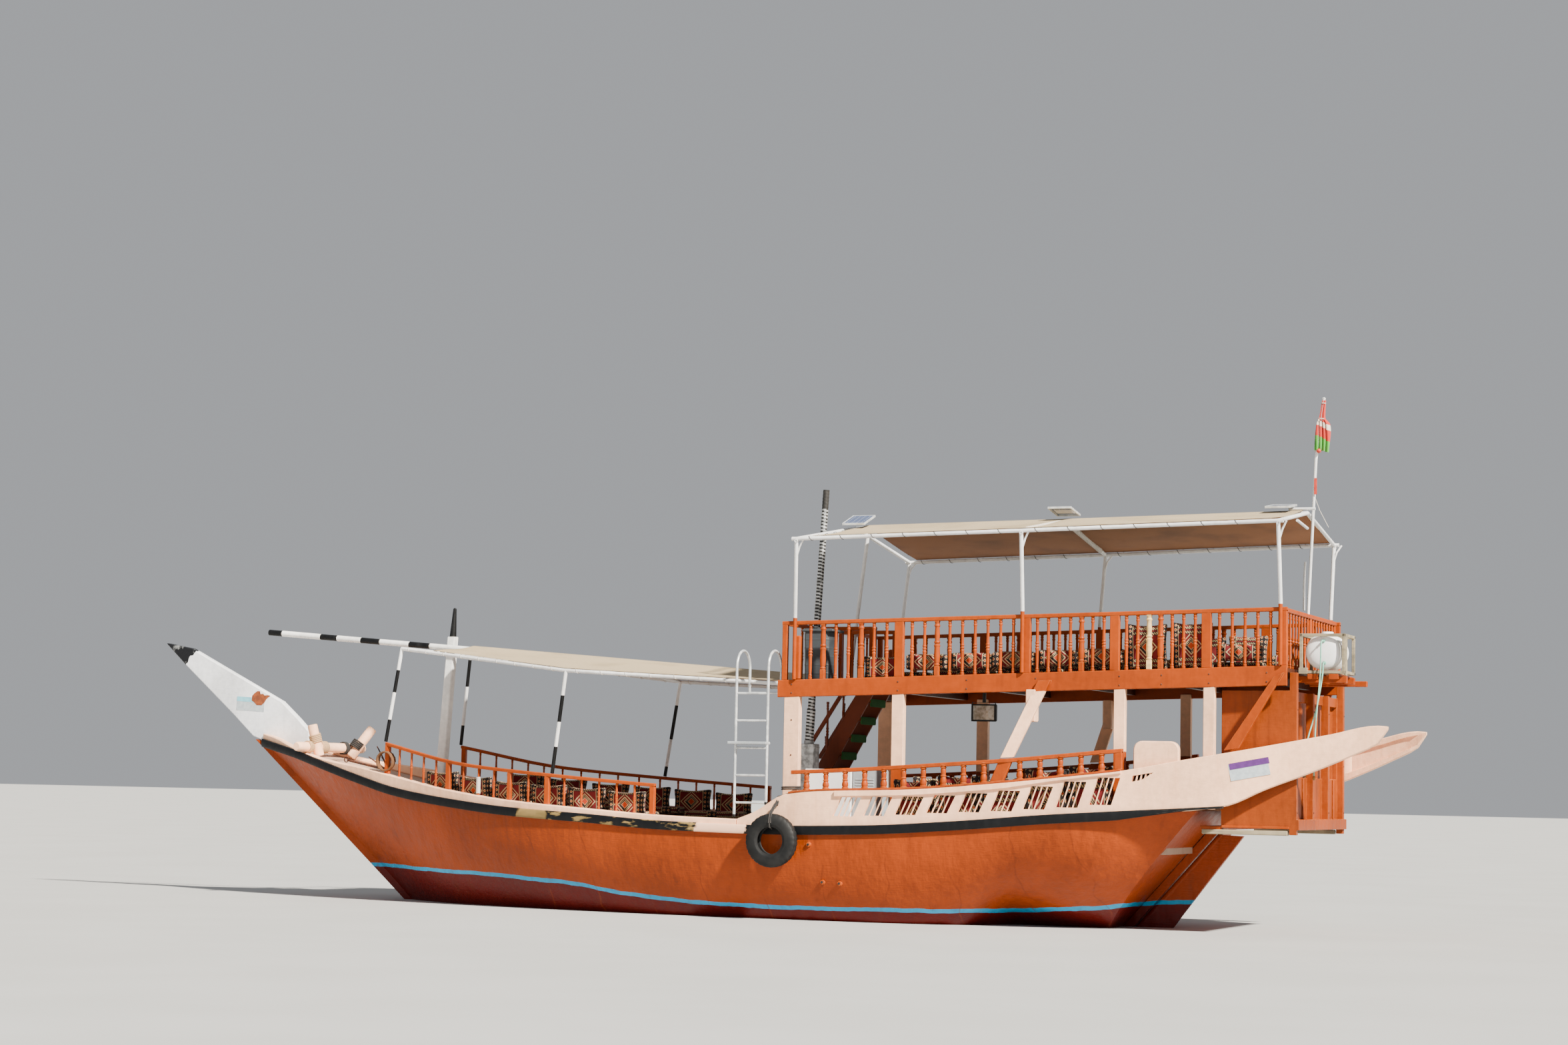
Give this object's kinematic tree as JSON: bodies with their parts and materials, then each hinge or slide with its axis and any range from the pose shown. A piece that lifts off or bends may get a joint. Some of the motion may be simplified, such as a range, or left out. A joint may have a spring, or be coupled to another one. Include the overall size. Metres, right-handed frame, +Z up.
{
  "type": "dhow sailing boat",
  "caption": "Wooden two-deck passenger dhow with a blade-shaped prow, raked stern, striped boom, two cloth canopies, railed decks with cushions, and a stern cabin over the rudder.",
  "frame": {"origin": "on the waterline plane, on the centreline, midway between stem and rudder", "axes": "+X aft, +Y to starboard, +Z up; the bow points to -X"},
  "size_m": [18.28, 4.523, 7.8023],
  "materials": {
    "orange_paint": "gloss paint on planking, worn",
    "brown_orange_paint": "weathered paint on timber",
    "pink_paint": "flat paint on timber, chipped",
    "white_paint": "flat paint on timber",
    "black_paint": "flat bitumen paint on timber",
    "bronze": "dull",
    "rusty_iron": "rusty",
    "engine_iron": "painted casting",
    "white_pipe": "paint on steel pipe",
    "canvas": "coated canvas, tan above, brown below",
    "solar_glass": "dark blue cells",
    "foil": "crumpled lagging, sooted at the top",
    "grey_plastic": "matte",
    "white_plastic": "matte moulded plastic",
    "weathered_wood": "bare, grey",
    "green_hose": "garden hose",
    "flag_cloth": "red, white and green cloth, furled",
    "galvanised_steel": "galvanised",
    "tyre_rubber": "worn",
    "black_metal": "satin",
    "varnished_wood": "varnished",
    "kilim": "woven, red with black, cream, orange and green"
  },
  "bodies": {
    "boat": {"hull": "orange_paint", "keel": "brown_orange_paint", "prow": "white_paint", "rub_band_port": "black_paint", "gunwale_port": "pink_paint", "bulwark_port": "pink_paint", "rub_band_starboard": "black_paint", "gunwale_starboard": "pink_paint", "bulwark_starboard": "pink_paint", "bow_bitts": "pink_paint", "anchor": "rusty_iron", "fore_rail_port": "orange_paint", "main_rail_port": "orange_paint", "upper_rail_port": "orange_paint", "fore_rail_starboard": "orange_paint", "main_rail_starboard": "orange_paint", "upper_rail_starboard": "orange_paint", "deck_frame_port": "pink_paint", "deck_frame_starboard": "pink_paint", "upper_deck": "brown_orange_paint", "aft_rail": "orange_paint", "front_rail_port": "orange_paint", "front_rail_starboard": "orange_paint", "stair": "brown_orange_paint", "mast": "white_paint", "boom": "white_paint", "fore_canopy_frame": "white_pipe", "fore_canopy_cloth": "canvas", "upper_canopy_frame": "white_pipe", "upper_canopy_cloth": "canvas", "solar_panel": "solar_glass", "solar_panel_mid": "solar_glass", "exhaust": "foil", "deck_bin": "grey_plastic", "cabinet": "white_plastic", "stern_cabin": "orange_paint", "tank_shelf": "orange_paint", "tank_crate": "weathered_wood", "water_tank": "white_plastic", "hose_low": "green_hose", "hose_high": "green_hose", "flag_pole": "white_pipe", "flag": "flag_cloth", "ladder": "galvanised_steel", "tyre_fender": "tyre_rubber", "floodlight": "black_metal", "helm": "brown_orange_paint", "engine": "engine_iron", "fore_seat_port": "kilim", "main_seat_port": "kilim", "upper_seat_port": "kilim", "fore_seat_starboard": "kilim", "main_seat_starboard": "kilim", "upper_seat_starboard": "kilim"},
    "rudder": {"rudder": "brown_orange_paint"},
    "propeller": {"propeller": "bronze"},
    "steering_wheel": {"steering_wheel": "varnished_wood"},
    "engine_hatch": {"engine_hatch": "orange_paint"},
    "cabin_door_port": {"cabin_door_port": "brown_orange_paint"},
    "cabin_door_starboard": {"cabin_door_starboard": "brown_orange_paint"}
  },
  "joints": [
    {"name": "rudder_hinge", "type": "hinge", "parent": "boat", "child": "rudder", "pos_m": [5.3844, 0, 0.2], "axis": [0.6636, 0, 0.7481], "range_deg": [-35, 35]},
    {"name": "propeller_spin", "type": "hinge", "parent": "boat", "child": "propeller", "pos_m": [3.9, 0, -0.52], "axis": [1, 0, 0], "continuous": true},
    {"name": "wheel_turn", "type": "hinge", "parent": "boat", "child": "steering_wheel", "pos_m": [5, 0, 1.65], "axis": [1, 0, 0], "range_deg": [-360, 360]},
    {"name": "hatch_lift", "type": "hinge", "parent": "boat", "child": "engine_hatch", "pos_m": [2.55, 0, 0.956], "axis": [0, -1, 0], "range_deg": [0, 85]},
    {"name": "door_port_swing", "type": "hinge", "parent": "boat", "child": "cabin_door_port", "pos_m": [6.598, -1.042, 2.18], "axis": [0, 0, 1], "range_deg": [0, 90]},
    {"name": "door_starboard_swing", "type": "hinge", "parent": "boat", "child": "cabin_door_starboard", "pos_m": [6.598, 1.042, 2.18], "axis": [0, 0, -1], "range_deg": [0, 90]}
  ],
  "couplings": [
    {"joint": "wheel_turn", "follows": "rudder_hinge", "ratio": 10}
  ]
}
